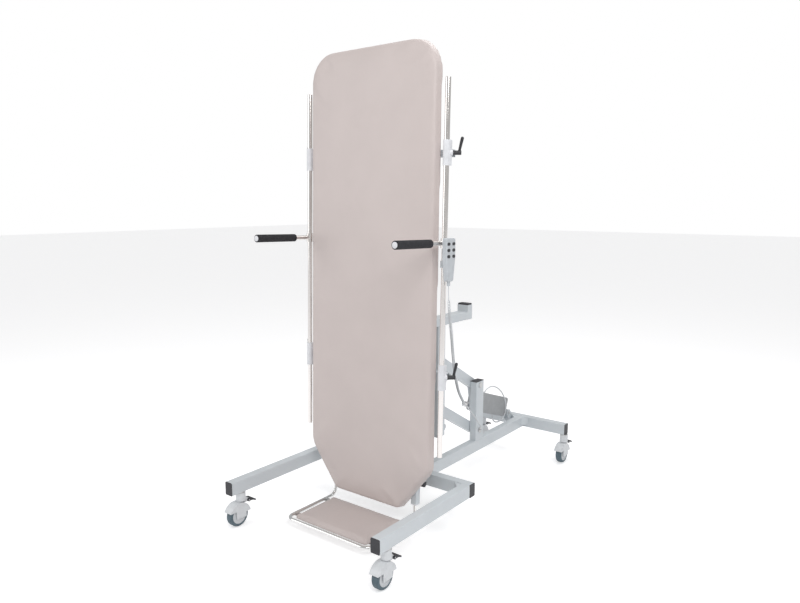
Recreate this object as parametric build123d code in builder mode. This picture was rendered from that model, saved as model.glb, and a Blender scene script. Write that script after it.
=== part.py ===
from build123d import *
import math
import os

os.makedirs("parts", exist_ok=True)

# ---- shared sizes, millimetres ----
bar_y = -243.55         # front face of the front crossbar
tube_low = 155.0        # underside of the base tubes
tube_high = 60.0
tube_wide = 44.0
tube_wall = 3.0
tube_corner = 5.0
tube_top = tube_low + tube_high
base_half = 441.4       # half width over the end caps
cap_thick = 2.0
leg_length = 619.2
spine_x = 149.0
spine_wide = 40.0
rear_y = bar_y + 1024.0
rear_half = 275.4
post_deep = 72.0
post_y = bar_y + 536.0
post_top = 526.0
gusset_leg = 30.0
gusset_high = 40.0

stem_r = 6.0
stem_clear = 0.05
wheel_r = 50.0
wheel_wide = 32.0
trail = 22.0
front_stem_x = 419.4
front_stem_y = bar_y - 556.0
rear_stem_y = bar_y + 1046.0
rear_stem_reach = 263.0

pin_r = 10.0
run_clear = 0.05
arm_wide = 25.0
arm_high = 50.0
arm_x = 103.5           # left face of the arms
arm_length = 411.0
arm_angle = 30.0
low_pivot_z = 267.0
pivot_gap = 239.0       # height between the two arm pivots

table_y = bar_y - 157.4   # table plane at floor level
lean = 1.47
pad_half = 350.0
pad_low = 93.0
pad_top = 2100.0
pad_front = 37.0
frame_face = -16.0
frame_size = 30.0
frame_wall = 2.5
frame_x = 238.0
frame_low = 125.0
frame_top = 1850.0
hinge_y = bar_y - 29.0
hinge_z = 886.0
hinge_bar_r = 20.0

rail_x = 381.5
rail_r = 11.0
rail_low = 375.0
rail_top = 1930.0
sleeve_r = 15.0
sleeves = ((1585.0, 1686.0), (665.0, 772.0))
sleeve_mid = (1635.5, 718.5)
lever_dir = (0.7690, 0.6393)
handle_z = 1275.0

foot_r = 8.0
foot_drop = 40.0

act_x = 75.0
eye_wide = 30.0


# ---- helpers ----
def unit(v):
    size = math.sqrt(sum(c * c for c in v))
    return tuple(c / size for c in v)


def rect_tube(start, direction, across, length, w, h, wall, corner):
    """Hollow rectangular tube, w wide along across."""
    with BuildSketch(Plane(origin=start, x_dir=across, z_dir=direction)) as section:
        RectangleRounded(w, h, corner)
        RectangleRounded(w - 2 * wall, h - 2 * wall, max(corner - wall, 0.6), mode=Mode.SUBTRACT)
    extrude(section.sketch, amount=length)


def rod(start, direction, length, radius, mode=Mode.ADD):
    with BuildSketch(Plane(origin=start, z_dir=direction)) as section:
        Circle(radius)
    extrude(section.sketch, amount=length, mode=mode)


def block(x0, x1, y0, y1, z0, z1, mode=Mode.ADD):
    with Locations(((x0 + x1) / 2, (y0 + y1) / 2, (z0 + z1) / 2)):
        Box(x1 - x0, y1 - y0, z1 - z0, mode=mode)


def side_plate(x0, x1, outline, mode=Mode.ADD):
    """Plate between x0 and x1 with a (y, z) outline."""
    with BuildSketch(Plane.YZ.offset(x0)) as section:
        with BuildLine():
            Polyline(*outline, close=True)
        make_face()
    extrude(section.sketch, amount=x1 - x0, mode=mode)


def slot_plate(x0, x1, a, b, width, mode=Mode.ADD):
    """Round-ended bar between x0 and x1, from (y, z) point a to b."""
    reach = math.dist(a, b)
    turn = math.degrees(math.atan2(b[1] - a[1], b[0] - a[0]))
    with BuildSketch(Plane.YZ.offset(x0)) as section:
        with Locations(((a[0] + b[0]) / 2, (a[1] + b[1]) / 2)):
            SlotCenterToCenter(reach, width, rotation=turn)
    extrude(section.sketch, amount=x1 - x0, mode=mode)


def x_rod(x0, x1, at, radius, mode=Mode.ADD):
    rod((x0, at[0], at[1]), (1, 0, 0), x1 - x0, radius, mode)


def turned_bends(points):
    """Bend radii for a cord route, one per inner corner."""
    radii = []
    for k in range(1, len(points) - 1):
        before = [points[k][i] - points[k - 1][i] for i in range(3)]
        after = [points[k + 1][i] - points[k][i] for i in range(3)]
        la = math.sqrt(sum(c * c for c in before))
        lb = math.sqrt(sum(c * c for c in after))
        cosine = sum(before[i] * after[i] for i in range(3)) / (la * lb)
        half = math.acos(max(-1.0, min(1.0, cosine))) / 2
        radii.append(0.45 * min(la, lb) / math.tan(half))
    return radii


def cord_tube(points, radius):
    bends = turned_bends(points)
    print("bends", [round(b, 1) for b in bends])
    with BuildLine() as route:
        FilletPolyline(*points, radius=bends)
    with BuildSketch(Plane(origin=route.line @ 0, z_dir=route.line % 0)) as section:
        Circle(radius)
    sweep(section.sketch, path=route.line)
    print("cord length", round(sum(e.length for e in route.edges()), 1))


def save(part, label):
    part.label = label
    export_step(part, "parts/" + label + ".step")


tilt = math.radians(lean)
table = Plane(origin=(0, table_y, 0), x_dir=(1, 0, 0), z_dir=(0, -math.cos(tilt), math.sin(tilt)))
table_n = (0, -math.cos(tilt), math.sin(tilt))
table_s = (0, math.sin(tilt), math.cos(tilt))


def on_table(x, s, n):
    """Point at height s along the table and n in front of the rail plane."""
    return (x, table_y + s * table_s[1] + n * table_n[1], s * table_s[2] + n * table_n[2])


# ---- base frame ----
leg_x = base_half - tube_wide / 2
leg_inner = base_half - tube_wide
spine_left = spine_x - spine_wide / 2
spine_right = spine_x + spine_wide / 2
spine_start = bar_y + tube_wide


def gusset(x, y, dx, dy):
    """Corner plate in the angle at (x, y), opening towards dx and dy."""
    with BuildSketch(Plane.XY.offset(tube_top - 4 - gusset_high)) as section:
        with BuildLine():
            Polyline((x, y), (x + dx * gusset_leg, y), (x + dx * gusset_leg, y + dy * 4),
                     (x + dx * 4, y + dy * gusset_leg), (x, y + dy * gusset_leg), close=True)
        make_face()
    extrude(section.sketch, amount=gusset_high)


with BuildPart() as front_legs:
    for side in (-1, 1):
        rect_tube((side * leg_x, bar_y - leg_length, tube_low + tube_high / 2), (0, 1, 0), (1, 0, 0),
                  leg_length, tube_wide, tube_high, tube_wall, tube_corner)
save(front_legs.part, "front_legs")

with BuildPart() as front_crossbar:
    rect_tube((-base_half + cap_thick, bar_y + tube_wide / 2, tube_low + tube_high / 2), (1, 0, 0), (0, 1, 0),
              2 * (base_half - cap_thick), tube_wide, tube_high, tube_wall, tube_corner)
    gusset(leg_inner, bar_y, -1, -1)
    gusset(-leg_inner, bar_y, 1, -1)
    gusset(spine_right, spine_start, 1, 1)
    gusset(spine_left, spine_start, -1, 1)
save(front_crossbar.part, "front_crossbar")

with BuildPart() as spine_beam:
    rect_tube((spine_x, spine_start, tube_low + tube_high / 2), (0, 1, 0), (1, 0, 0),
              rear_y - spine_start, spine_wide, tube_high, tube_wall, tube_corner)
save(spine_beam.part, "spine_beam")

lift_rear = (bar_y + 985.0, 235.0)
ear_gap = eye_wide + 2.0
ear_thick = 6.0
with BuildPart() as rear_crossbar:
    rect_tube((spine_x - rear_half + cap_thick, rear_y + tube_wide / 2, tube_low + tube_high / 2), (1, 0, 0),
              (0, 1, 0), 2 * (rear_half - cap_thick), tube_wide, tube_high, tube_wall, tube_corner)
    gusset(spine_right, rear_y, 1, -1)
    gusset(spine_left, rear_y, -1, -1)
    for side in (-1, 1):
        inner = act_x + side * ear_gap / 2
        x0, x1 = sorted((inner, inner + side * ear_thick))
        side_plate(x0, x1, [(rear_y, tube_low + 8), (rear_y, tube_top - 6), (lift_rear[0] + 10, 250),
                            (lift_rear[0] - 12, 252), (lift_rear[0] - 18, 235), (lift_rear[0] - 8, 214)])
        x_rod(x0, x1, lift_rear, 18)
        x_rod(x0, x1, lift_rear, 6, Mode.SUBTRACT)
save(rear_crossbar.part, "rear_crossbar")

high_base = (post_y, low_pivot_z + pivot_gap)
low_base = (post_y, low_pivot_z)
with BuildPart() as lift_post:
    rect_tube((spine_x, post_y, tube_top), (0, 0, 1), (1, 0, 0), post_top - tube_top,
              spine_wide, post_deep, 4.0, tube_corner)
    for at in (high_base, low_base):
        x_rod(spine_x - 30, spine_x + 30, at, pin_r, Mode.SUBTRACT)
save(lift_post.part, "lift_post")

with BuildPart() as base_end_caps:
    mid = tube_low + tube_high / 2
    faces = [((-leg_x, bar_y - leg_length, mid), (0, -1, 0), (1, 0, 0), tube_wide, tube_high),
             ((leg_x, bar_y - leg_length, mid), (0, -1, 0), (1, 0, 0), tube_wide, tube_high),
             ((base_half - cap_thick, bar_y + tube_wide / 2, mid), (1, 0, 0), (0, 1, 0),
              tube_wide, tube_high),
             ((cap_thick - base_half, bar_y + tube_wide / 2, mid), (-1, 0, 0), (0, 1, 0),
              tube_wide, tube_high),
             ((spine_x + rear_half - cap_thick, rear_y + tube_wide / 2, mid), (1, 0, 0), (0, 1, 0),
              tube_wide, tube_high),
             ((spine_x - rear_half + cap_thick, rear_y + tube_wide / 2, mid), (-1, 0, 0), (0, 1, 0),
              tube_wide, tube_high),
             ((spine_x, post_y, post_top), (0, 0, 1), (1, 0, 0), spine_wide, post_deep)]
    for at, out, across, w, h in faces:
        wall = 4.0 if out[2] else tube_wall
        with BuildSketch(Plane(origin=at, x_dir=across, z_dir=out)) as plate:
            RectangleRounded(w, h, tube_corner)
        extrude(plate.sketch, amount=cap_thick)
        with BuildSketch(Plane(origin=at, x_dir=across, z_dir=out)) as plug:
            RectangleRounded(w - 2 * wall - 0.4, h - 2 * wall - 0.4, 1.8)
        extrude(plug.sketch, amount=-8)
save(base_end_caps.part, "base_end_caps")

stems = {"front_right": (front_stem_x, front_stem_y), "front_left": (-front_stem_x, front_stem_y),
         "rear_right": (spine_x + rear_stem_reach, rear_stem_y),
         "rear_left": (spine_x - rear_stem_reach, rear_stem_y)}
with BuildPart() as caster_stems:
    for x, y in stems.values():
        rod((x, y, tube_low), (0, 0, -1), 5, 20)
        rod((x, y, tube_low), (0, 0, -1), 20, stem_r)
save(caster_stems.part, "caster_stems")

arm_in = arm_x - 0.6
post_out = spine_x + spine_wide / 2
with BuildPart() as rear_pivot_pins:
    for at in (high_base, low_base):
        x_rod(arm_in - 4, arm_in, at, 15)
        x_rod(arm_in, post_out, at, pin_r)
        x_rod(post_out, post_out + 4, at, 15)
    x_rod(act_x - ear_gap / 2 - ear_thick - 3, act_x - ear_gap / 2 - ear_thick, lift_rear, 10)
    x_rod(act_x - ear_gap / 2 - ear_thick, act_x + ear_gap / 2 + ear_thick, lift_rear, 6)
    x_rod(act_x + ear_gap / 2 + ear_thick, act_x + ear_gap / 2 + ear_thick + 3, lift_rear, 10)
save(rear_pivot_pins.part, "rear_pivot_pins")

# ---- casters: housing, wheel and brake pedal on each stem ----
shell_in = wheel_wide / 2 + 2.5
shell_out = shell_in + 4.0
pedal_pin = (34.0, 104.0)
for name, (cx, cy) in stems.items():
    axle = (cy - trail, wheel_r)
    with BuildPart() as caster_housing:
        rod((cx, cy, 112), (0, 0, 1), tube_low - 5.4 - 112, 22)
        with BuildSketch(Plane.YZ.offset(cx - shell_out)) as fender:
            with Locations(axle):
                Circle(wheel_r + 9)
            with Locations((axle[0], axle[1] - 62)):
                Rectangle(200, 100, mode=Mode.SUBTRACT)
        extrude(fender.sketch, amount=2 * shell_out)
        with BuildSketch(Plane.YZ.offset(cx - shell_in)) as hollow:
            with Locations(axle):
                Circle(wheel_r + 4)
        extrude(hollow.sketch, amount=2 * shell_in, mode=Mode.SUBTRACT)
        block(cx - 30, cx + 30, axle[0] - 80, axle[0] - 20, 30, 74, Mode.SUBTRACT)
        block(cx - 30, cx + 30, axle[0] + 34, axle[0] + 90, 30, 60, Mode.SUBTRACT)
        x_rod(cx - shell_out, cx + shell_out, axle, 5)
        rod((cx, cy, tube_low - 25), (0, 0, 1), 30, stem_r + stem_clear, Mode.SUBTRACT)
        block(cx - 9.7, cx + 9.7, cy + 12, cy + pedal_pin[0] - 3, 98, 116)
        x_rod(cx - 9.7, cx + 9.7, (cy + pedal_pin[0], pedal_pin[1]), 7)
        x_rod(cx - 18, cx + 18, (cy + pedal_pin[0], pedal_pin[1]), 3)
    save(caster_housing.part, "caster_" + name + "_housing")

    with BuildPart() as caster_wheel:
        x_rod(cx - wheel_wide / 2, cx + wheel_wide / 2, axle, wheel_r)
        rims = [e for e in caster_wheel.edges().filter_by(GeomType.CIRCLE) if e.radius > wheel_r - 1]
        fillet(rims, 7)
        for side in (-1, 1):
            face = cx + side * wheel_wide / 2
            x0, x1 = sorted((face, face - side * 2.5))
            x_rod(x0, x1, axle, 36, Mode.SUBTRACT)
            x0, x1 = sorted((face, face - side * 2.5))
            x_rod(x0, x1, axle, 13)
        x_rod(cx - wheel_wide / 2, cx + wheel_wide / 2, axle, 5 + run_clear, Mode.SUBTRACT)
    save(caster_wheel.part, "caster_" + name + "_wheel")

    with BuildPart() as caster_pedal:
        py, pz = cy + pedal_pin[0], pedal_pin[1]
        for side in (-1, 1):
            x0, x1 = sorted((cx + side * 10.1, cx + side * 18))
            x_rod(x0, x1, (py, pz), 7)
            side_plate(x0, x1, [(py, pz + 7), (py, pz - 5), (py + 14, pz - 5), (py + 14, pz + 5)])
        side_plate(cx - 18, cx + 18, [(py + 8.5, pz + 6), (py + 8.5, pz - 4), (py + 22, pz - 7),
                                      (py + 38, pz - 14), (py + 39, pz - 8), (py + 24, pz + 2)])
        x_rod(cx - 18, cx + 18, (py, pz), 3 + run_clear, Mode.SUBTRACT)
    save(caster_pedal.part, "caster_" + name + "_pedal")

# ---- lifting arms ----
slope = math.radians(arm_angle)
reach_y = arm_length * math.cos(slope)
reach_z = arm_length * math.sin(slope)
high_front = (high_base[0] - reach_y, high_base[1] + reach_z)
low_front = (low_base[0] - reach_y, low_base[1] + reach_z)
lift_front = (bar_y + 556.0, 381.0)
lift_pin_r = 6.0
with BuildPart() as upper_arm:
    slot_plate(arm_x, arm_x + arm_wide, high_base, high_front, arm_high)
    side_plate(arm_x, arm_x + 12, [(high_base[0] - 22, high_base[1] - 8), (high_base[0] + 24, high_base[1]),
                                   (lift_front[0] + 17, lift_front[1]), (lift_front[0] - 17, lift_front[1])])
    x_rod(arm_x, arm_x + 12, lift_front, 17)
    x_rod(act_x - eye_wide / 2 - 3, arm_x, lift_front, lift_pin_r)
    x_rod(act_x - eye_wide / 2 - 7, act_x - eye_wide / 2 - 2, lift_front, 13)
    x_rod(arm_x, arm_x + arm_wide, high_base, pin_r + run_clear, Mode.SUBTRACT)
    x_rod(arm_x, arm_x + arm_wide, high_front, pin_r + 0.4, Mode.SUBTRACT)
save(upper_arm.part, "upper_arm")

with BuildPart() as lower_arm:
    slot_plate(arm_x, arm_x + arm_wide, low_base, low_front, arm_high)
    for at in (low_base, low_front):
        x_rod(arm_x, arm_x + arm_wide, at, pin_r + run_clear, Mode.SUBTRACT)
save(lower_arm.part, "lower_arm")

# ---- carriage ----
up_front, up_deep = bar_y + 150.0, 60.0
up_mid = up_front + up_deep / 2
up_low = 330.0
arm_bar_low, arm_bar_high = hinge_z - hinge_bar_r, hinge_z + hinge_bar_r
tilt_low = (bar_y + 300.0, 330.0)
plate_in, plate_out = act_x - 26.0, act_x + 23.0
foot_y = bar_y + 150.0
with BuildPart() as carriage_upright:
    rect_tube((spine_x, up_mid, up_low), (0, 0, 1), (1, 0, 0), arm_bar_low - up_low, spine_wide, up_deep, 4.0,
              tube_corner)
    for at in (high_front, low_front):
        x_rod(spine_x - 30, spine_x + 30, at, pin_r, Mode.SUBTRACT)
    block(plate_in - 6, spine_x - spine_wide / 2, foot_y, foot_y + 40, up_low, up_low + 40)
    block(plate_in, spine_x - spine_wide / 2 - 4, foot_y + 4, foot_y + 36, up_low + 4, up_low + 36,
          Mode.SUBTRACT)
    for x0 in (plate_in - 6, plate_out):
        x1 = x0 + (6 if x0 < act_x else 5)
        side_plate(x0, x1, [(foot_y + 40, up_low), (foot_y + 40, up_low + 40),
                            (tilt_low[0], tilt_low[1] + 18), (tilt_low[0], tilt_low[1] - 18)])
        x_rod(x0, x1, tilt_low, 18)
        x_rod(x0, x1, tilt_low, 5, Mode.SUBTRACT)
save(carriage_upright.part, "carriage_upright")

stop_wide = 60.0
stop_end = bar_y + 443.0
stop_left = 109.0
stop_head = 40.0
stop_rise = 52.0
with BuildPart() as stop_arm:
    rect_tube((stop_left + stop_wide / 2, hinge_y, hinge_z), (0, 1, 0), (1, 0, 0),
              stop_end - stop_head - hinge_y + 1, stop_wide, 2 * hinge_bar_r, tube_wall, tube_corner)
    x_rod(stop_left - 1, stop_left + stop_wide + 1, (hinge_y, hinge_z), hinge_bar_r + 0.3, Mode.SUBTRACT)
    block(stop_left, stop_left + stop_wide, stop_end - stop_head, stop_end, arm_bar_low, hinge_z + stop_rise)
save(stop_arm.part, "stop_arm")

hinge_n = -((hinge_y - table_y) * math.cos(tilt)) + hinge_z * math.sin(tilt)
frame_back = frame_face - frame_size
buffer_top = hinge_z + (frame_back - hinge_n) - 0.6
with BuildPart() as stop_buffer:
    with BuildSketch(Plane.XY.offset(hinge_z + stop_rise)) as section:
        with Locations((stop_left + stop_wide / 2, stop_end - stop_head / 2)):
            RectangleRounded(stop_wide, stop_head, 6)
    extrude(section.sketch, amount=buffer_top - hinge_z - stop_rise)
    fillet(stop_buffer.faces().sort_by(Axis.Z)[-1].edges(), 1.5)
save(stop_buffer.part, "stop_buffer")

lug_in = frame_x - 4.0
with BuildPart() as tilt_crossbeam:
    x_rod(-lug_in + 0.5, lug_in - 0.5, (hinge_y, hinge_z), hinge_bar_r)
    x_rod(-lug_in - 12, lug_in + 12, (hinge_y, hinge_z), pin_r)
    for side in (-1, 1):
        x0, x1 = sorted((side * (lug_in + 8.5), side * (lug_in + 12)))
        x_rod(x0, x1, (hinge_y, hinge_z), 14)
save(tilt_crossbeam.part, "tilt_crossbeam")

with BuildPart() as front_pivot_pins:
    for at in (high_front, low_front):
        x_rod(arm_in - 4, arm_in, at, 15)
        x_rod(arm_in, post_out, at, pin_r)
        x_rod(post_out, post_out + 4, at, 15)
    x_rod(plate_in - 9, plate_in - 6, tilt_low, 9)
    x_rod(plate_in - 6, plate_out + 5, tilt_low, 5)
save(front_pivot_pins.part, "front_pivot_pins")

# ---- actuators ----
lift_span = math.dist(lift_front, lift_rear)
lift_run = ((lift_front[0] - lift_rear[0]) / lift_span, (lift_front[1] - lift_rear[1]) / lift_span)
lift_up = (lift_run[1], -lift_run[0])


def along(origin, run, up, t, p):
    return (origin[0] + run[0] * t + up[0] * p, origin[1] + run[1] * t + up[1] * p)


def lift_at(t, p):
    return along(lift_rear, lift_run, lift_up, t, p)


def shaped_box(x0, x1, at, t0, t1, p0, p1, edge):
    """Rounded case whose outline lies along an actuator."""
    corners = [at(t0, p0), at(t1, p0), at(t1, p1), at(t0, p1)]
    with BuildSketch(Plane.YZ.offset(x0)) as section:
        with BuildLine():
            Polyline(*corners, close=True)
        make_face()
        fillet(section.vertices(), edge)
    extrude(section.sketch, amount=x1 - x0)


with BuildPart() as lift_actuator_body:
    shaped_box(act_x - 35, act_x + 35, lift_at, 62, 395, -28, 80, 14)
    caps = lift_actuator_body.faces().filter_by(Axis.X)
    fillet(caps.edges(), 5)
    side_plate(act_x - eye_wide / 2, act_x + eye_wide / 2,
               [lift_at(0, -14), lift_at(66, -20), lift_at(66, 20), lift_at(0, 14)])
    x_rod(act_x - eye_wide / 2, act_x + eye_wide / 2, lift_rear, 14)
    x_rod(act_x - eye_wide / 2, act_x + eye_wide / 2, lift_rear, 6 + run_clear, Mode.SUBTRACT)
    run3 = (0, lift_run[0], lift_run[1])
    tube_at = lift_at(390, 0)
    rod((act_x, tube_at[0], tube_at[1]), run3, 20, 19)
    bore_at = lift_at(340, 0)
    rod((act_x, bore_at[0], bore_at[1]), run3, 90, 10 + run_clear, Mode.SUBTRACT)
save(lift_actuator_body.part, "lift_actuator_body")

lift_eye_r = lift_pin_r + 2.75
with BuildPart() as lift_actuator_rod:
    start = lift_at(345, 0)
    rod((act_x, start[0], start[1]), run3, lift_span - 345 - 10, 10)
    x_rod(act_x - eye_wide / 2 + 0.5, act_x + eye_wide / 2, lift_front, 15)
    x_rod(act_x - eye_wide / 2, act_x + eye_wide / 2, lift_front, lift_eye_r, Mode.SUBTRACT)
save(lift_actuator_rod.part, "lift_actuator_rod")

crank_r = 120.0
crank_turn = math.radians(-112.0)
tilt_high = (hinge_y + crank_r * math.cos(crank_turn), hinge_z + crank_r * math.sin(crank_turn))
tilt_span = math.dist(tilt_low, tilt_high)
tilt_run = ((tilt_high[0] - tilt_low[0]) / tilt_span, (tilt_high[1] - tilt_low[1]) / tilt_span)
tilt_up = (tilt_run[1], -tilt_run[0])
tilt3 = (0, tilt_run[0], tilt_run[1])


def tilt_at(t, p):
    return along(tilt_low, tilt_run, tilt_up, t, p)


with BuildPart() as tilt_actuator_body:
    side_plate(act_x - eye_wide / 2, act_x + eye_wide / 2,
               [tilt_at(0, -13), tilt_at(34, -20), tilt_at(34, 20), tilt_at(0, 13)])
    x_rod(act_x - eye_wide / 2, act_x + eye_wide / 2, tilt_low, 13)
    shaped_box(act_x - 22, act_x + 22, tilt_at, 30, 92, -24, 72, 9)
    motor = tilt_at(90, 46)
    rod((act_x, motor[0], motor[1]), tilt3, 112, 20)
    tube_at = tilt_at(90, 0)
    rod((act_x, tube_at[0], tube_at[1]), tilt3, 390, 19)
    head = tilt_at(470, 0)
    rod((act_x, head[0], head[1]), tilt3, 22, 21)
    x_rod(act_x - eye_wide / 2, act_x + eye_wide / 2, tilt_low, 5 + run_clear, Mode.SUBTRACT)
    bore_at = tilt_at(180, 0)
    rod((act_x, bore_at[0], bore_at[1]), tilt3, 330, 10 + run_clear, Mode.SUBTRACT)
save(tilt_actuator_body.part, "tilt_actuator_body")

tilt_eye_r = 14.0
with BuildPart() as tilt_actuator_rod:
    start = tilt_at(190, 0)
    rod((act_x, start[0], start[1]), tilt3, tilt_span - 190 - 6, 10)
    x_rod(act_x - eye_wide / 2, act_x + eye_wide / 2, tilt_high, tilt_eye_r)
save(tilt_actuator_rod.part, "tilt_actuator_rod")

# ---- table ----
def pad_face(inset):
    """Pad outline on a flat plane, drawn in by inset."""
    half = pad_half - inset
    low = pad_low + inset
    high = pad_top - inset
    cut = inset * 0.55
    with BuildSketch() as flat:
        with BuildLine():
            Polyline((-190 + cut, low), (190 - cut, low), (half, 295 + cut), (half, high), (-half, high),
                     (-half, 295 + cut), close=True)
        make_face()
        points = flat.vertices()
        tops = [v for v in points if v.Y > 1500]
        fillet(tops, 135 - inset)
        sides = [v for v in flat.vertices() if 200 < v.Y < 1500]
        fillet(sides, 80 - inset)
        lows = [v for v in flat.vertices() if v.Y < 200 and abs(v.X) > 150]
        fillet(lows, 30 - inset / 2)
    return flat.sketch


board_inset = 24.0
board_thick = 12.0
with BuildPart() as pad_cushion:
    extrude(pad_face(0), amount=pad_front - frame_face)
    fillet(pad_cushion.faces().sort_by(Axis.Z)[-1].edges(), 19)
    fillet(pad_cushion.faces().sort_by(Axis.Z)[0].edges(), 6)
    extrude(pad_face(board_inset), amount=board_thick, mode=Mode.SUBTRACT)
pad_solid = table.offset(frame_face).location * pad_cushion.part
save(pad_solid, "pad_cushion")

with BuildPart() as pad_board:
    extrude(pad_face(board_inset), amount=board_thick)
board_solid = table.offset(frame_face).location * pad_board.part
save(board_solid, "pad_board")

frame_mid = frame_face - frame_size / 2
with BuildPart() as frame_side_tubes:
    for side in (-1, 1):
        rect_tube(on_table(side * frame_x, frame_low, frame_mid), table_s, (1, 0, 0), frame_top - frame_low,
                  frame_size, frame_size, frame_wall, 3.0)
save(frame_side_tubes.part, "frame_side_tubes")

outer_end = 393.0
tube_edge = frame_x + frame_size / 2
tube_inner = frame_x - frame_size / 2
stop_s = hinge_z + (stop_end - stop_head / 2 - hinge_y)
with BuildPart() as frame_cross_tubes:
    for s in (sleeve_mid[0], sleeve_mid[1], stop_s, 300.0):
        rect_tube(on_table(-tube_inner, s, frame_mid), (1, 0, 0), table_s, 2 * tube_inner,
                  frame_size, frame_size, frame_wall, 3.0)
    for s in sleeve_mid:
        for side in (-1, 1):
            rect_tube(on_table(side * tube_edge, s, frame_mid), (side, 0, 0), table_s,
                      outer_end - tube_edge, frame_size, frame_size, frame_wall, 3.0)
save(frame_cross_tubes.part, "frame_cross_tubes")

lug_back = frame_back
with BuildPart() as hinge_lugs:
    for side in (-1, 1):
        x0, x1 = sorted((side * lug_in, side * (lug_in + 8)))
        low = on_table(0, 886 - 55, lug_back)
        high = on_table(0, 886 + 55, lug_back)
        side_plate(x0, x1, [(low[1], low[2]), (hinge_y - 4, hinge_z - 24), (hinge_y + 16, hinge_z - 18),
                            (hinge_y + 16, hinge_z + 18), (hinge_y - 4, hinge_z + 24), (high[1], high[2])])
        x_rod(x0, x1, (hinge_y, hinge_z), 24)
        x_rod(x0, x1, (hinge_y, hinge_z), pin_r + run_clear, Mode.SUBTRACT)
    for x0 in (act_x - eye_wide / 2 - 6.5, act_x + eye_wide / 2 + 0.5):
        low = on_table(0, sleeve_mid[1] - 12, lug_back)
        high = on_table(0, sleeve_mid[1] + 12, lug_back)
        side_plate(x0, x0 + 6, [(low[1], low[2]), (tilt_high[0] + 4, tilt_high[1] - 13),
                                (tilt_high[0] - 4, tilt_high[1] + 13), (high[1], high[2])])
        x_rod(x0, x0 + 6, tilt_high, 14)
save(hinge_lugs.part, "hinge_lugs")


def sleeve_boss(side, s):
    mid = on_table(side * rail_x, s, 0)
    return mid, (side * lever_dir[0], lever_dir[1], 0)


boss_end = 24.0
with BuildPart() as rail_sleeves:
    for side in (-1, 1):
        for (low, high), s in zip(sleeves, sleeve_mid):
            base = on_table(side * rail_x, low, 0)
            with BuildSketch(Plane(origin=base, x_dir=(1, 0, 0), z_dir=table_s)) as section:
                Circle(sleeve_r)
                with Locations((0, -frame_face / 2)):
                    Rectangle(2 * sleeve_r, -frame_face)
            extrude(section.sketch, amount=high - low)
            mid, out = sleeve_boss(side, s)
            rod(mid, out, boss_end, 11)
            rod(base, table_s, high - low, rail_r + run_clear, Mode.SUBTRACT)
save(rail_sleeves.part, "rail_sleeves")

# ---- clamp levers ----
hub_end = 58.0
for side, word in ((1, "right"), (-1, "left")):
    for s, place in zip(sleeve_mid, ("upper", "lower")):
        mid, out = sleeve_boss(side, s)
        with BuildPart() as lever:
            start = [mid[i] + out[i] * (boss_end + 0.4) for i in range(3)]
            rod(start, out, hub_end - boss_end - 0.4, 9)
            root = [mid[i] + out[i] * 49 for i in range(3)]
            up = unit((out[0] * 15, out[1] * 15, 64))
            with BuildSketch(Plane(origin=root, z_dir=up)) as section:
                Circle(5.0)
            with BuildSketch(Plane(origin=[root[i] + up[i] * 58 for i in range(3)], z_dir=up)) as tip:
                Circle(6.5)
            loft([section.sketch.face(), tip.sketch.face()])
            with Locations(tuple(root[i] + up[i] * 58 for i in range(3))):
                Sphere(6.5)
        save(lever.part, "lever_" + place + "_" + word)

# ---- accessory rails with handles ----
grip_near, grip_far = 100.0, 328.0
grip_r = 17.0
for side, word in ((1, "right"), (-1, "left")):
    base = on_table(side * rail_x, rail_low, 0)
    with BuildPart() as rail:
        rod(base, table_s, rail_top - rail_low, rail_r)
        fillet(rail.edges().filter_by(GeomType.CIRCLE), 2)
        rod(on_table(side * rail_x, handle_z - 20, 0), table_s, 40, 16)
        rod(on_table(side * rail_x, handle_z, 0), table_n, grip_far, 10)
    save(rail.part, "rail_" + word)
    with BuildPart() as grip:
        rod(on_table(side * rail_x, handle_z, grip_near), table_n, grip_far - grip_near, grip_r)
        fillet(grip.edges(), 3)
        rod(on_table(side * rail_x, handle_z, grip_near), table_n, grip_far - grip_near, 10, Mode.SUBTRACT)
    save(grip.part, "grip_" + word)

# ---- footplate ----
foot_s = (foot_drop - frame_mid * table_n[2]) / table_s[2]
foot_back = on_table(0, foot_s, frame_mid)[1]
foot_front = bar_y - 457.0 + foot_r
foot_top = on_table(0, 420, frame_mid)
with BuildPart() as footplate_loop:
    corner = 38.0
    route_points = [(-frame_x, foot_top[1], foot_top[2]), (-frame_x, foot_back, foot_drop),
                    (-frame_x, foot_front, foot_drop), (frame_x, foot_front, foot_drop),
                    (frame_x, foot_back, foot_drop), (frame_x, foot_top[1], foot_top[2])]
    with BuildLine() as loop_line:
        FilletPolyline(*route_points, radius=corner)
    with BuildSketch(Plane(origin=loop_line.line @ 0, z_dir=loop_line.line % 0)) as section:
        Circle(foot_r)
    sweep(section.sketch, path=loop_line.line)
    for y in (foot_front + 60, foot_back - 70):
        block(-frame_x + foot_r - 3, frame_x - foot_r + 3, y - 15, y + 15, foot_drop - 8, foot_drop - 4)
save(footplate_loop.part, "footplate_loop")

cushion_front, cushion_back = bar_y - 430.0, bar_y - 170.0
with BuildPart() as footplate_cushion:
    with BuildSketch(Plane.XY.offset(foot_drop - 4)) as section:
        with Locations((0, (cushion_front + cushion_back) / 2)):
            RectangleRounded(420, cushion_back - cushion_front, 18)
    extrude(section.sketch, amount=20)
    fillet(footplate_cushion.faces().sort_by(Axis.Z)[-1].edges(), 8)
    fillet(footplate_cushion.faces().sort_by(Axis.Z)[0].edges(), 2)
save(footplate_cushion.part, "footplate_cushion")

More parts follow.
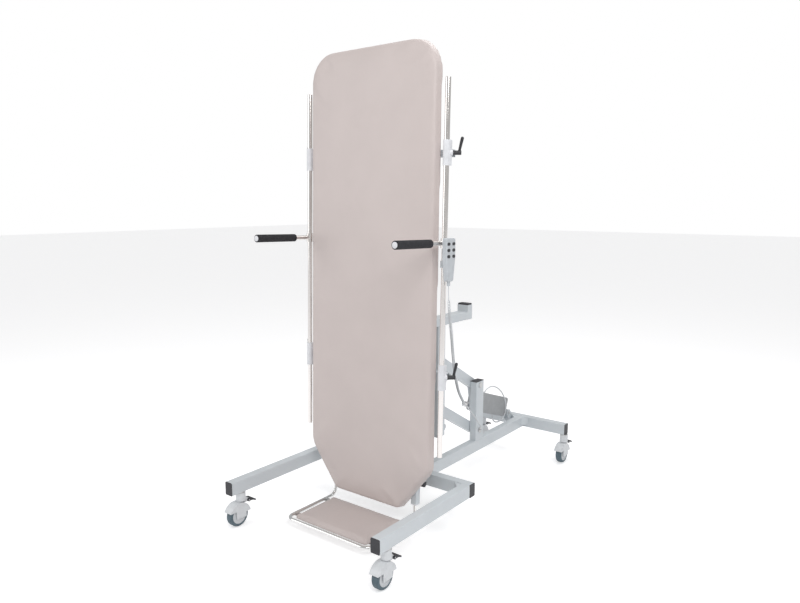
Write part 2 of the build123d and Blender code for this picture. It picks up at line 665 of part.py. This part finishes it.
with BuildPart() as footplate_bushes:
    for side in (-1, 1):
        base = on_table(side * frame_x, frame_low - 6, frame_mid)
        with BuildSketch(Plane(origin=base, x_dir=(1, 0, 0), z_dir=table_s)) as section:
            RectangleRounded(frame_size, frame_size, 3)
        extrude(section.sketch, amount=6)
        inside = frame_size - 2 * frame_wall
        with BuildSketch(Plane(origin=base, x_dir=(1, 0, 0), z_dir=table_s)) as section:
            RectangleRounded(inside, inside, 0.6)
        extrude(section.sketch, amount=60)
        rod(base, table_s, 60, foot_r + run_clear, Mode.SUBTRACT)
save(footplate_bushes.part, "footplate_bushes")

knob_at = on_table(tube_edge + 0.3, 222, frame_mid)
with BuildPart() as footplate_knob:
    rod(knob_at, (1, 0, 0), 12, 6)
    rod((knob_at[0] + 8, knob_at[1], knob_at[2]), (1, 0, 0), 26, 13)
    for k in range(8):
        a = math.radians(45 * k)
        at = (knob_at[0] + 8, knob_at[1] + 14.2 * math.cos(a), knob_at[2] + 14.2 * math.sin(a))
        rod(at, (1, 0, 0), 26, 2.6, Mode.SUBTRACT)
save(footplate_knob.part, "footplate_knob")

# ---- handset and its six buttons ----
case_in, case_out = 400.0, 424.0
case_mid_y = bar_y - 139.0
case_low, case_top = 1122.0, 1297.0
button_y = (case_mid_y - 18.0, case_mid_y + 18.0)
button_z = (1274.0, 1249.0, 1224.0)
button_wide, button_high = 20.0, 12.0
rail_at = on_table(rail_x, 1190, 0)
with BuildPart() as handset_case:
    with BuildSketch(Plane.YZ.offset(case_in)) as section:
        with BuildLine():
            Polyline((case_mid_y - 19, case_low), (case_mid_y + 19, case_low),
                     (case_mid_y + 33, case_top - 80), (case_mid_y + 33, case_top),
                     (case_mid_y - 33, case_top), (case_mid_y - 33, case_top - 80), close=True)
        make_face()
        fillet([v for v in section.vertices() if v.Z > case_top - 5], 26)
        fillet([v for v in section.vertices() if case_low + 5 < v.Z < case_top - 60], 60)
        fillet([v for v in section.vertices() if v.Z < case_low + 5], 9)
    extrude(section.sketch, amount=case_out - case_in)
    fillet(handset_case.faces().filter_by(Axis.X).edges(), 5)
    for y in button_y:
        for z in button_z:
            with BuildSketch(Plane.YZ.offset(case_out - 6.5)) as pocket:
                with Locations((y, z)):
                    SlotOverall(button_wide + 0.6, button_high + 0.6)
            extrude(pocket.sketch, amount=10, mode=Mode.SUBTRACT)
    rod(((case_in + case_out) / 2, case_mid_y, case_low - 18), (0, 0, 1), 20, 7)
    rod((rail_at[0], rail_at[1], rail_at[2] - 14), table_s, 28, 16)
    block(rail_x + 10, case_in + 2, rail_at[1] - 9, case_mid_y + 9, rail_at[2] - 12, rail_at[2] + 12)
    rod(on_table(rail_x, 1150, 0), table_s, 80, rail_r, Mode.SUBTRACT)
save(handset_case.part, "handset_case")

count = 0
for z in button_z:
    for y in button_y:
        count += 1
        with BuildPart() as button:
            with BuildSketch(Plane.YZ.offset(case_out - 5)) as section:
                with Locations((y, z)):
                    SlotOverall(button_wide, button_high)
            extrude(section.sketch, amount=7)
            fillet(button.faces().sort_by(Axis.X)[-1].edges(), 1.5)
        save(button.part, "handset_button_" + str(count))

# ---- cords ----
gland = ((case_in + case_out) / 2, case_mid_y, case_low - 18)
coil_points = [gland, (412, bar_y - 137, 1046), (400, bar_y - 108, 968), (384, bar_y - 68, 882),
               (360, bar_y - 20, 790), (328, bar_y + 46, 692)]
with BuildPart() as handset_cord_upper:
    cord_tube(coil_points, 7.0)
save(handset_cord_upper.part, "handset_cord_upper")

lower_points = [(327.4, bar_y + 47.3, 690.6), (288, bar_y + 130, 600), (246, bar_y + 232, 520),
                (219, bar_y + 305, 470)]
with BuildPart() as handset_cord_lower:
    cord_tube(lower_points, 7.0)
save(handset_cord_lower.part, "handset_cord_lower")

tail_points = [(218.4, bar_y + 307.5, 468.2), (207, bar_y + 371, 421), (199, bar_y + 438, 366),
               (194, bar_y + 492, 312), (191, bar_y + 526, 277), (175.6, bar_y + 536, 267)]
with BuildPart() as handset_cord_tail:
    cord_tube(tail_points, 3.0)
save(handset_cord_tail.part, "handset_cord_tail")


def over(t, p, x):
    at = lift_at(t, p)
    return (x, at[0], at[1])


drape_points = [over(300, 80, 80), over(285, 115, 88), over(235, 128, 104), over(180, 110, 118),
                over(130, 70, 124), over(90, 20, 122), over(78, -38, 108), over(110, -70, 90),
                over(150, -62, 80), over(165, -28, 77)]
with BuildPart() as actuator_cable:
    cord_tube(drape_points, 3.5)
save(actuator_cable.part, "actuator_cable")


# ---- figures for the joints ----
def turned(point, centre, degrees):
    a = math.radians(degrees)
    y, z = point[0] - centre[0], point[1] - centre[1]
    return (centre[0] + y * math.cos(a) + z * math.sin(a), centre[1] - y * math.sin(a) + z * math.cos(a))


def leanof(a, b):
    return math.atan2(b[0] - a[0], b[1] - a[1])


for label, origin, moved, centre, top in (("lift", lift_rear, lift_front, high_base, 20.0),
                                          ("tilt", tilt_low, tilt_high, (hinge_y, hinge_z), 88.5)):
    end = turned(moved, centre, top)
    stroke = (math.dist(origin, end) - math.dist(origin, moved)) / 1000 / math.radians(top)
    swing = (leanof(origin, end) - leanof(origin, moved)) / math.radians(top)
    print(label, "slide per rad", round(stroke, 6), "swing ratio", round(swing, 6),
          "run", [round(c, 6) for c in (lift_run if label == "lift" else tilt_run)])
print("pivots", [[round(c, 3) for c in p] for p in (high_base, low_base, high_front, low_front, lift_front,
                                                    lift_rear, tilt_low, tilt_high)], hinge_y, hinge_z)
print("levers", [[round(c, 3) for c in sleeve_boss(1, s)[0]] for s in sleeve_mid])
print("knob", [round(c, 3) for c in knob_at])
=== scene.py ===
import math

import bmesh
import bpy
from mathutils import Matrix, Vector


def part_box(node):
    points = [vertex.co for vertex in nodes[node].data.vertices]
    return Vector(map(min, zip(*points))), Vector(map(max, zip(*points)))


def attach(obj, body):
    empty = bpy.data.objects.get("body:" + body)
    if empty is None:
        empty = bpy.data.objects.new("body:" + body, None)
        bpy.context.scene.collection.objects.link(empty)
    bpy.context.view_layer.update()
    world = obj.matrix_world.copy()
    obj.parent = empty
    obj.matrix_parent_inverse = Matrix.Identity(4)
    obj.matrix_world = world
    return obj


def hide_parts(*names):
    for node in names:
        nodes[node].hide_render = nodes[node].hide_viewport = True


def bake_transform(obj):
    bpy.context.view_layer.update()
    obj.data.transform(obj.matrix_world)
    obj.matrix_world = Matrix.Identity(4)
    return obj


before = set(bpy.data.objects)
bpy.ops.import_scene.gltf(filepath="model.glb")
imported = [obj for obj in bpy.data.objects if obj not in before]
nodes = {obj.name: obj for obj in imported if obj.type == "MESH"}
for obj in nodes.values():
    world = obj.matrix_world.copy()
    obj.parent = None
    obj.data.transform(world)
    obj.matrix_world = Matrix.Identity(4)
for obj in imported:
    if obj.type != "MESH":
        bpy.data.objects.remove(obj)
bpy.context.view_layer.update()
scene = bpy.context.scene
scene.view_settings.view_transform = "Standard"

CORNERS = ("front_right", "front_left", "rear_right", "rear_left")
LEAN = math.radians(1.47)
BAR = -0.24355


# ---- materials ----
def new_material(name, colour, rough, metal=0.0):
    """A Principled material with its tree, shader and Object coordinates."""
    material = bpy.data.materials.new(name)
    material.use_nodes = True
    tree = material.node_tree
    shader = tree.nodes["Principled BSDF"]
    shader.inputs["Base Color"].default_value = (*colour, 1)
    shader.inputs["Roughness"].default_value = rough
    shader.inputs["Metallic"].default_value = metal
    place = tree.nodes.new("ShaderNodeTexCoord")
    return material, tree, shader, place.outputs["Object"]


def noise(tree, where, scale, detail=3.0, rough=0.55):
    node = tree.nodes.new("ShaderNodeTexNoise")
    node.inputs["Scale"].default_value = scale
    node.inputs["Detail"].default_value = detail
    node.inputs["Roughness"].default_value = rough
    tree.links.new(where, node.inputs["Vector"])
    return node.outputs["Fac"]


def spread(tree, value, low, high, from_low=0.3, from_high=0.7):
    node = tree.nodes.new("ShaderNodeMapRange")
    node.inputs["From Min"].default_value = from_low
    node.inputs["From Max"].default_value = from_high
    node.inputs["To Min"].default_value = low
    node.inputs["To Max"].default_value = high
    tree.links.new(value, node.inputs["Value"])
    return node.outputs["Result"]


def two_tone(tree, value, dark, light):
    node = tree.nodes.new("ShaderNodeMix")
    node.data_type = "RGBA"
    node.inputs["A"].default_value = (*dark, 1)
    node.inputs["B"].default_value = (*light, 1)
    tree.links.new(value, node.inputs["Factor"])
    return node.outputs["Result"]


def bump(tree, shader, value, strength, distance):
    node = tree.nodes.new("ShaderNodeBump")
    node.inputs["Strength"].default_value = strength
    node.inputs["Distance"].default_value = distance
    tree.links.new(value, node.inputs["Height"])
    tree.links.new(node.outputs["Normal"], shader.inputs["Normal"])
    return node


def tinted(colour, by):
    return tuple(min(1.0, c * by) for c in colour)


def vinyl(name, colour):
    """Soft coated cloth: fine leather grain, a slight sheen and faint cloudy tone."""
    material, tree, shader, at = new_material(name, colour, 0.5)
    cloud = spread(tree, noise(tree, at, 5.0, 3.0), 0.0, 1.0)
    tone = two_tone(tree, cloud, tinted(colour, 0.975), tinted(colour, 1.02))
    tree.links.new(tone, shader.inputs["Base Color"])
    grain = tree.nodes.new("ShaderNodeTexVoronoi")
    grain.inputs["Scale"].default_value = 620.0
    tree.links.new(at, grain.inputs["Vector"])
    first = bump(tree, shader, grain.outputs["Distance"], 0.22, 0.0004)
    soft = tree.nodes.new("ShaderNodeBump")
    soft.inputs["Strength"].default_value = 0.12
    soft.inputs["Distance"].default_value = 0.002
    tree.links.new(noise(tree, at, 26.0, 2.0), soft.inputs["Height"])
    tree.links.new(soft.outputs["Normal"], first.inputs["Normal"])
    tree.links.new(spread(tree, noise(tree, at, 90.0), 0.42, 0.56), shader.inputs["Roughness"])
    shader.inputs["Sheen Weight"].default_value = 0.15
    shader.inputs["Sheen Roughness"].default_value = 0.4
    return material


def paint(name, colour, rough=0.34):
    """Powder coat: fine orange peel, a clear top and slight tone changes."""
    material, tree, shader, at = new_material(name, colour, rough)
    cloud = spread(tree, noise(tree, at, 9.0), 0.0, 1.0)
    tone = two_tone(tree, cloud, tinted(colour, 0.965), tinted(colour, 1.02))
    tree.links.new(tone, shader.inputs["Base Color"])
    bump(tree, shader, noise(tree, at, 420.0, 2.0), 0.1, 0.0004)
    gloss = spread(tree, noise(tree, at, 60.0), rough - 0.05, rough + 0.07)
    tree.links.new(gloss, shader.inputs["Roughness"])
    shader.inputs["Coat Weight"].default_value = 0.25
    shader.inputs["Coat Roughness"].default_value = 0.2
    return material


def plastic(name, colour, rough=0.45, grain=900.0, depth=0.12):
    """Moulded plastic: spark-eroded grain and uneven gloss."""
    material, tree, shader, at = new_material(name, colour, rough)
    cloud = spread(tree, noise(tree, at, 30.0), 0.0, 1.0)
    tone = two_tone(tree, cloud, tinted(colour, 0.93), tinted(colour, 1.05))
    tree.links.new(tone, shader.inputs["Base Color"])
    bump(tree, shader, noise(tree, at, grain, 2.0), depth, 0.0003)
    gloss = spread(tree, noise(tree, at, 140.0), rough - 0.06, rough + 0.08)
    tree.links.new(gloss, shader.inputs["Roughness"])
    return material


def metal(name, colour, rough, streak=(1.0, 1.0, 1.0)):
    """Plated or ground metal: smudges, and fine lines along streak."""
    material, tree, shader, at = new_material(name, colour, rough, 1.0)
    turn = tree.nodes.new("ShaderNodeMapping")
    turn.inputs["Scale"].default_value = streak
    tree.links.new(at, turn.inputs["Vector"])
    lines = noise(tree, turn.outputs["Vector"], 160.0, 3.0)
    smudge = noise(tree, at, 14.0)
    tree.links.new(spread(tree, smudge, rough, rough + 0.09), shader.inputs["Roughness"])
    tone = two_tone(tree, spread(tree, smudge, 0.0, 1.0), tinted(colour, 0.95), colour)
    tree.links.new(tone, shader.inputs["Base Color"])
    bump(tree, shader, lines, 0.05, 0.0002)
    return material


def foam(name, colour):
    """Closed-cell grip foam: small open pores."""
    material, tree, shader, at = new_material(name, colour, 0.85)
    pores = tree.nodes.new("ShaderNodeTexVoronoi")
    pores.inputs["Scale"].default_value = 480.0
    tree.links.new(at, pores.inputs["Vector"])
    bump(tree, shader, pores.outputs["Distance"], 0.6, 0.0008)
    cloud = spread(tree, noise(tree, at, 60.0), 0.0, 1.0)
    tone = two_tone(tree, cloud, tinted(colour, 0.75), tinted(colour, 1.3))
    tree.links.new(tone, shader.inputs["Base Color"])
    return material


def wheel_finish(name, axle):
    """Blue-grey tyre with a paler hub inside the tread, centred on its axle."""
    material, tree, shader, at = new_material(name, (0.1, 0.14, 0.17), 0.6)
    centred = tree.nodes.new("ShaderNodeMapping")
    centred.inputs["Location"].default_value = (-axle[0], -axle[1], -axle[2])
    tree.links.new(at, centred.inputs["Vector"])
    flat = tree.nodes.new("ShaderNodeVectorMath")
    flat.operation = "MULTIPLY"
    flat.inputs[1].default_value = (0.0, 1.0, 1.0)
    tree.links.new(centred.outputs["Vector"], flat.inputs[0])
    radius = tree.nodes.new("ShaderNodeVectorMath")
    radius.operation = "LENGTH"
    tree.links.new(flat.outputs["Vector"], radius.inputs[0])
    hub = spread(tree, radius.outputs["Value"], 1.0, 0.0, 0.0365, 0.0372)
    cloud = spread(tree, noise(tree, at, 90.0), 0.0, 1.0)
    tread = two_tone(tree, cloud, (0.075, 0.115, 0.14), (0.11, 0.155, 0.185))
    mixed = tree.nodes.new("ShaderNodeMix")
    mixed.data_type = "RGBA"
    mixed.inputs["B"].default_value = (0.66, 0.68, 0.7, 1)
    tree.links.new(hub, mixed.inputs["Factor"])
    tree.links.new(tread, mixed.inputs["A"])
    tree.links.new(mixed.outputs["Result"], shader.inputs["Base Color"])
    bump(tree, shader, noise(tree, at, 700.0), 0.15, 0.0004)
    return material


PAINT_COLOUR = (0.62, 0.66, 0.69)
PAD_COLOUR = (0.62, 0.545, 0.525)
frame_paint = paint("light_grey_paint", PAINT_COLOUR)
pad_vinyl = vinyl("beige_vinyl", PAD_COLOUR)
step_vinyl = vinyl("beige_vinyl_step", tinted(PAD_COLOUR, 0.95))
cap_black = plastic("black_cap_plastic", (0.028, 0.028, 0.034), 0.5)
lever_black = plastic("black_lever_plastic", (0.022, 0.022, 0.026), 0.42)
white_plastic = plastic("white_nylon", (0.78, 0.79, 0.82), 0.4)
caster_grey = plastic("caster_shell", (0.7, 0.72, 0.74), 0.32, 500.0, 0.05)
motor_grey = plastic("motor_case", (0.36, 0.37, 0.38), 0.5)
motor_black = plastic("motor_black", (0.06, 0.06, 0.065), 0.45)
chrome = metal("bright_chrome", (0.8, 0.77, 0.75), 0.1, (1.0, 1.0, 0.04))
loop_chrome = metal("loop_chrome", (0.78, 0.78, 0.77), 0.12)
pin_steel = metal("zinc_steel", (0.58, 0.58, 0.58), 0.3)
rod_steel = metal("rod_steel", (0.72, 0.72, 0.73), 0.16)
board_ply = plastic("sealed_board", (0.2, 0.16, 0.12), 0.6, 60.0, 0.1)
grip_foam = foam("black_grip_foam", (0.022, 0.022, 0.026))
handset_grey = plastic("handset_shell", (0.55, 0.58, 0.61), 0.42)
button_black = plastic("button_rubber", (0.03, 0.03, 0.035), 0.5)
cord_grey = plastic("cord_sleeve", (0.66, 0.68, 0.7), 0.5, 300.0, 0.05)

FINISHES = {
    frame_paint: ("front_legs", "front_crossbar", "spine_beam", "rear_crossbar", "lift_post", "upper_arm",
                  "lower_arm", "carriage_upright", "stop_arm", "tilt_crossbeam", "frame_side_tubes",
                  "frame_cross_tubes", "hinge_lugs"),
    cap_black: ("base_end_caps", "stop_buffer", "footplate_knob") + tuple(f"caster_{c}_pedal" for c in CORNERS),
    lever_black: ("lever_upper_right", "lever_upper_left", "lever_lower_right", "lever_lower_left"),
    white_plastic: ("rail_sleeves", "footplate_bushes"),
    caster_grey: tuple(f"caster_{c}_housing" for c in CORNERS),
    motor_grey: ("lift_actuator_body",),
    motor_black: ("tilt_actuator_body",),
    chrome: ("rail_right", "rail_left"),
    loop_chrome: ("footplate_loop",),
    pin_steel: ("caster_stems", "rear_pivot_pins", "front_pivot_pins"),
    rod_steel: ("lift_actuator_rod", "tilt_actuator_rod"),
    board_ply: ("pad_board",),
    grip_foam: ("grip_right", "grip_left"),
    handset_grey: ("handset_case",),
    button_black: tuple(f"handset_button_{k}" for k in range(1, 7)),
}


def finish_node(name, material):
    mesh = nodes[name].data
    mesh.materials.clear()
    mesh.materials.append(material)


for material, names in FINISHES.items():
    for name in names:
        finish_node(name, material)

for corner in CORNERS:
    low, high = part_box(f"caster_{corner}_wheel")
    axle = (Vector(low) + Vector(high)) / 2
    finish_node(f"caster_{corner}_wheel", wheel_finish(f"tyre_{corner}", axle))


# ---- pieces ----
def add_object(name, mesh, material, smooth=True):
    piece = bpy.data.objects.new(name, mesh)
    scene.collection.objects.link(piece)
    mesh.materials.clear()
    mesh.materials.append(material)
    if smooth:
        mesh.shade_smooth()
    return piece


def copied_mesh(node, name):
    """A merged copy of a CAD node's mesh."""
    mesh = nodes[node].data.copy()
    mesh.name = name
    work = bmesh.new()
    work.from_mesh(mesh)
    bmesh.ops.remove_doubles(work, verts=work.verts, dist=1e-5)
    bmesh.ops.recalc_face_normals(work, faces=work.faces)
    work.to_mesh(mesh)
    work.free()
    return mesh


def bake_modifiers(piece):
    evaluated = piece.evaluated_get(bpy.context.evaluated_depsgraph_get())
    mesh = bpy.data.meshes.new_from_object(evaluated)
    old = piece.data
    piece.modifiers.clear()
    piece.data = mesh
    bpy.data.meshes.remove(old)


def stuffed(node, name, material, voxel, start_in, cap, pinned, pressure=4.0):
    """A cushion swollen by simulated cloth from a slightly smaller copy of its solid."""
    piece = add_object(name, copied_mesh(node, name), material)
    remesh = piece.modifiers.new("remesh", "REMESH")
    remesh.mode = "VOXEL"
    remesh.voxel_size = voxel
    bake_modifiers(piece)
    mesh = piece.data
    work = bmesh.new()
    work.from_mesh(mesh)
    for turn in range(3):
        bmesh.ops.smooth_vert(work, verts=work.verts, factor=0.5, use_axis_x=True, use_axis_y=True,
                              use_axis_z=True)
    work.normal_update()
    for vert in work.verts:
        if not pinned(vert.co):
            vert.co -= vert.normal * start_in
    work.to_mesh(mesh)
    work.free()
    rest = [v.co.copy() for v in mesh.vertices]
    held = piece.vertex_groups.new(name="held")
    held.add([v.index for v in mesh.vertices if pinned(v.co)], 1.0, "REPLACE")
    cloth = piece.modifiers.new("cloth", "CLOTH")
    cloth.settings.quality = 4
    cloth.settings.mass = 0.3
    cloth.settings.tension_stiffness = 25
    cloth.settings.compression_stiffness = 25
    cloth.settings.shear_stiffness = 8
    cloth.settings.bending_stiffness = 2
    cloth.settings.use_pressure = True
    cloth.settings.uniform_pressure_force = pressure
    cloth.settings.vertex_group_mass = "held"
    cloth.settings.effector_weights.gravity = 0
    cloth.collision_settings.use_collision = False
    cloth.point_cache.frame_start = 1
    cloth.point_cache.frame_end = 20
    for step in range(1, 21):
        scene.frame_set(step)
    evaluated = piece.evaluated_get(bpy.context.evaluated_depsgraph_get())
    moved = [v.co.copy() for v in evaluated.data.vertices]
    piece.modifiers.clear()
    piece.vertex_groups.clear()
    for vert, old, new in zip(mesh.vertices, rest, moved):
        shift = new - old
        if shift.length > cap:
            shift = shift.normalized() * cap
        vert.co = old + shift
    scene.frame_set(1)
    finer = piece.modifiers.new("finer", "SUBSURF")
    finer.levels = 1
    finer.render_levels = 1
    mesh.shade_smooth()
    return piece


def pad_height(co):
    """Distance in front of the rail plane."""
    back = BAR - 0.1574
    return -(co.y - back) * math.cos(LEAN) + co.z * math.sin(LEAN)


pad = stuffed("pad_cushion", "pad_cover", pad_vinyl, 0.0105, 0.0025, 0.0045,
              lambda co: pad_height(co) < -0.008)
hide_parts("pad_cushion")
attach(pad, "table")

step_low, step_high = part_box("footplate_cushion")
step_cushion = stuffed("footplate_cushion", "step_cover", step_vinyl, 0.005, 0.0015, 0.004,
                       lambda co: co.z < step_low[2] + 0.004)
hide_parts("footplate_cushion")
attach(step_cushion, "footplate")


# ---- cords ----
def route_curve(name, points, thick=0.0, smooth=6):
    """One open spline with the route's points as its control points."""
    curve = bpy.data.curves.new(name, "CURVE")
    curve.dimensions = "3D"
    curve.resolution_u = smooth
    curve.bevel_depth = thick / 2
    curve.bevel_resolution = 3
    curve.use_fill_caps = True
    spline = curve.splines.new("NURBS")
    spline.points.add(len(points) - 1)
    for slot, point in zip(spline.points, points):
        slot.co = (*point, 1)
    spline.order_u = 3
    spline.use_endpoint_u = True
    return curve


def sampled(points, smooth=24):
    """Points read from the route's own spline."""
    curve = route_curve("sampling", points, 0.0, smooth)
    holder = bpy.data.objects.new("sampling", curve)
    scene.collection.objects.link(holder)
    bpy.context.view_layer.update()
    mesh = bpy.data.meshes.new_from_object(holder.evaluated_get(bpy.context.evaluated_depsgraph_get()))
    line = [v.co.copy() for v in mesh.vertices]
    bpy.data.objects.remove(holder)
    bpy.data.curves.remove(curve)
    bpy.data.meshes.remove(mesh)
    return line


def line_length(line):
    return sum((b - a).length for a, b in zip(line, line[1:]))


def tube_mesh(name, points, thick, smooth):
    curve = route_curve(name, points, thick, smooth)
    holder = bpy.data.objects.new(name + "_holder", curve)
    scene.collection.objects.link(holder)
    bpy.context.view_layer.update()
    mesh = bpy.data.meshes.new_from_object(holder.evaluated_get(bpy.context.evaluated_depsgraph_get()))
    bpy.data.objects.remove(holder)
    bpy.data.curves.remove(curve)
    mesh.name = name
    return mesh


WIRE = 0.0036
CURL_RADIUS = 0.0050
CURL_PITCH = 0.0072
CURL_EASE = 0.012


def curled(line, straight_in, straight_out, coil_r, pitch):
    """Helix points round a line, easing out of and into plain straight ends."""
    total = line_length(line)
    spots = []
    walked = 0.0
    side = (line[1] - line[0]).orthogonal().normalized()
    step = pitch / 14
    aim = 0.0
    for a, b in zip(line, line[1:]):
        run = (b - a).length
        if run < 1e-9:
            continue
        along = (b - a) / run
        side = (side - along * side.dot(along)).normalized()
        while aim <= walked + run:
            spots.append((a + along * (aim - walked), along, side.copy(), aim))
            aim += step
        walked += run
    points = []
    for centre, along, out, at in spots:
        from_start = (at - straight_in) / CURL_EASE
        to_end = (total - straight_out - at) / CURL_EASE
        inside = max(0.0, min(1.0, from_start, to_end))
        if inside == 0.0:
            if not points or (centre - points[-1]).length > 0.008:
                points.append(centre)
            continue
        angle = 2 * math.pi * (at - straight_in) / pitch
        across = along.cross(out)
        points.append(centre + (out * math.cos(angle) + across * math.sin(angle)) * coil_r * inside)
    points[0] = line[0]
    points[-1] = line[-1]
    return points


UPPER_ROUTE = [(0.412, BAR - 0.139, 1.104), (0.412, BAR - 0.137, 1.046), (0.400, BAR - 0.108, 0.968),
               (0.384, BAR - 0.068, 0.882), (0.360, BAR - 0.020, 0.790), (0.328, BAR + 0.046, 0.692)]
LOWER_ROUTE = [(0.3274, BAR + 0.0473, 0.6906), (0.288, BAR + 0.130, 0.600), (0.246, BAR + 0.232, 0.520),
               (0.219, BAR + 0.305, 0.470)]
TAIL_ROUTE = [(0.2184, BAR + 0.3075, 0.4682), (0.207, BAR + 0.371, 0.421), (0.199, BAR + 0.438, 0.366),
              (0.194, BAR + 0.492, 0.312), (0.191, BAR + 0.526, 0.277), (0.1756, BAR + 0.536, 0.267)]


def curly_cord(name, node, route, straight_in, straight_out):
    line = sampled(route)
    points = curled(line, straight_in, straight_out, CURL_RADIUS, CURL_PITCH)
    mesh = tube_mesh(name, points, WIRE, 1)
    piece = add_object(name, mesh, cord_grey)
    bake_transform(piece)
    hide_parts(node)
    return piece


curly_cord("handset_curl_upper", "handset_cord_upper", UPPER_ROUTE, 0.055, 0.0)
curly_cord("handset_curl_lower", "handset_cord_lower", LOWER_ROUTE, 0.0, 0.012)


def plain_cord(name, node, route, thick):
    line = sampled(route)
    mesh = tube_mesh(name, [Vector(p) for p in route], thick, 16)
    piece = add_object(name, mesh, cord_grey)
    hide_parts(node)
    return piece


tail = plain_cord("handset_tail", "handset_cord_tail", TAIL_ROUTE, 0.006)
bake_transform(tail)

LIFT_REAR = Vector((0, BAR + 0.985, 0.235))
LIFT_FRONT = Vector((0, BAR + 0.556, 0.381))
lift_run = (LIFT_FRONT - LIFT_REAR).normalized()
lift_up = Vector((0, lift_run.z, -lift_run.y))


def over_lift(t, p, x):
    """Point beside the lift motor: t along it, p above its line, at x."""
    return LIFT_REAR + lift_run * t + lift_up * p + Vector((x, 0, 0))


DRAPE_ROUTE = [over_lift(0.300, 0.080, 0.080), over_lift(0.285, 0.115, 0.088), over_lift(0.235, 0.128, 0.104),
               over_lift(0.180, 0.110, 0.118), over_lift(0.130, 0.070, 0.124), over_lift(0.090, 0.020, 0.122),
               over_lift(0.078, -0.038, 0.108), over_lift(0.110, -0.070, 0.090),
               over_lift(0.150, -0.062, 0.080), over_lift(0.165, -0.028, 0.077)]
drape = plain_cord("motor_lead", "actuator_cable", DRAPE_ROUTE, 0.007)
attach(drape, "lift_body")


# ---- grip end discs ----
RAIL_X = 0.3815
GRIP_RADIUS = 0.017
PLUG_RADIUS = 0.0125
PLUG_DEPTH = 0.004


def end_disc(side, word):
    """Pale plug in the free end of a hand grip."""
    low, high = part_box(f"grip_{word}")
    aim = Vector((0, -math.cos(LEAN), math.sin(LEAN)))
    centre = Vector((side * RAIL_X, low[1], high[2] - GRIP_RADIUS * math.cos(LEAN)))
    work = bmesh.new()
    bmesh.ops.create_cone(work, cap_ends=True, segments=48, radius1=PLUG_RADIUS, radius2=PLUG_RADIUS,
                          depth=PLUG_DEPTH)
    turn = Vector((0, 0, 1)).rotation_difference(aim).to_matrix()
    bmesh.ops.rotate(work, verts=work.verts, cent=(0, 0, 0), matrix=turn)
    bmesh.ops.translate(work, verts=work.verts, vec=centre + aim * -0.0005)
    rims = [e for e in work.edges if len(e.link_faces) == 2 and e.calc_face_angle(0) > 1.0]
    bmesh.ops.bevel(work, geom=rims, offset=0.001, offset_type="OFFSET", affect="EDGES", segments=2,
                    profile=0.5, material=-1)
    mesh = bpy.data.meshes.new(f"grip_plug_{word}")
    work.to_mesh(mesh)
    work.free()
    piece = add_object(f"grip_plug_{word}", mesh, white_plastic)
    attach(piece, f"{word}_rail")


end_disc(1, "right")
end_disc(-1, "left")


# ---- camera, floor and lights ----
def place_camera():
    data = bpy.data.cameras.new("camera")
    camera = bpy.data.objects.new("camera", data)
    scene.collection.objects.link(camera)
    camera.location = (1.9364, BAR - 2.4444, 1.4407)
    camera.rotation_euler = (math.radians(90 - 8.26), 0.0, math.radians(37.54))
    data.lens = 30.88
    data.sensor_width = 36.0
    scene.camera = camera


def floor_finish():
    """Pale floor that keeps shadows and is lifted a little where it is seen or mirrored."""
    material, tree, shader, at = new_material("pale_floor", (0.86, 0.86, 0.87), 0.7)
    shader.inputs["Specular IOR Level"].default_value = 0.15
    path = tree.nodes.new("ShaderNodeLightPath")
    glow = tree.nodes.new("ShaderNodeEmission")
    glow.inputs["Color"].default_value = (1, 1, 1, 1)
    both = tree.nodes.new("ShaderNodeAddShader")
    direct = tree.nodes.new("ShaderNodeMath")
    direct.operation = "MAXIMUM"
    tree.links.new(path.outputs["Is Camera Ray"], direct.inputs[0])
    tree.links.new(path.outputs["Is Glossy Ray"], direct.inputs[1])
    faint = tree.nodes.new("ShaderNodeMath")
    faint.operation = "MULTIPLY"
    faint.inputs[1].default_value = 0.42
    tree.links.new(direct.outputs["Value"], faint.inputs[0])
    tree.links.new(faint.outputs["Value"], glow.inputs["Strength"])
    out = tree.nodes["Material Output"]
    tree.links.new(shader.outputs["BSDF"], both.inputs[0])
    tree.links.new(glow.outputs["Emission"], both.inputs[1])
    tree.links.new(both.outputs["Shader"], out.inputs["Surface"])
    return material


def make_floor():
    mesh = bpy.data.meshes.new("floor")
    work = bmesh.new()
    bmesh.ops.create_grid(work, x_segments=1, y_segments=1, size=30)
    work.to_mesh(mesh)
    work.free()
    add_object("floor", mesh, floor_finish(), False)


def light_world():
    """White surroundings, weaker as a light than as a backdrop."""
    world = bpy.data.worlds.new("studio")
    world.use_nodes = True
    scene.world = world
    tree = world.node_tree
    background = tree.nodes["Background"]
    background.inputs["Color"].default_value = (1, 1, 1, 1)
    path = tree.nodes.new("ShaderNodeLightPath")
    level = tree.nodes.new("ShaderNodeMapRange")
    level.inputs["To Min"].default_value = 0.55
    level.inputs["To Max"].default_value = 1.0
    tree.links.new(path.outputs["Is Camera Ray"], level.inputs["Value"])
    tree.links.new(level.outputs["Result"], background.inputs["Strength"])


def soft_light(name, place, aim, size, power):
    data = bpy.data.lights.new(name, "AREA")
    data.shape = "DISK"
    data.size = size
    data.energy = power
    lamp = bpy.data.objects.new(name, data)
    scene.collection.objects.link(lamp)
    lamp.location = place
    lamp.rotation_euler = (Vector(aim) - Vector(place)).to_track_quat("-Z", "Y").to_euler()


place_camera()
make_floor()
light_world()
soft_light("key_light", (2.6, -2.2, 3.4), (0, -0.2, 1.0), 2.2, 62)
soft_light("fill_light", (-2.8, -3.4, 2.2), (0, 0, 0.9), 2.6, 34)
soft_light("top_light", (0.2, 1.4, 4.2), (0, 0.2, 0.5), 2.4, 40)
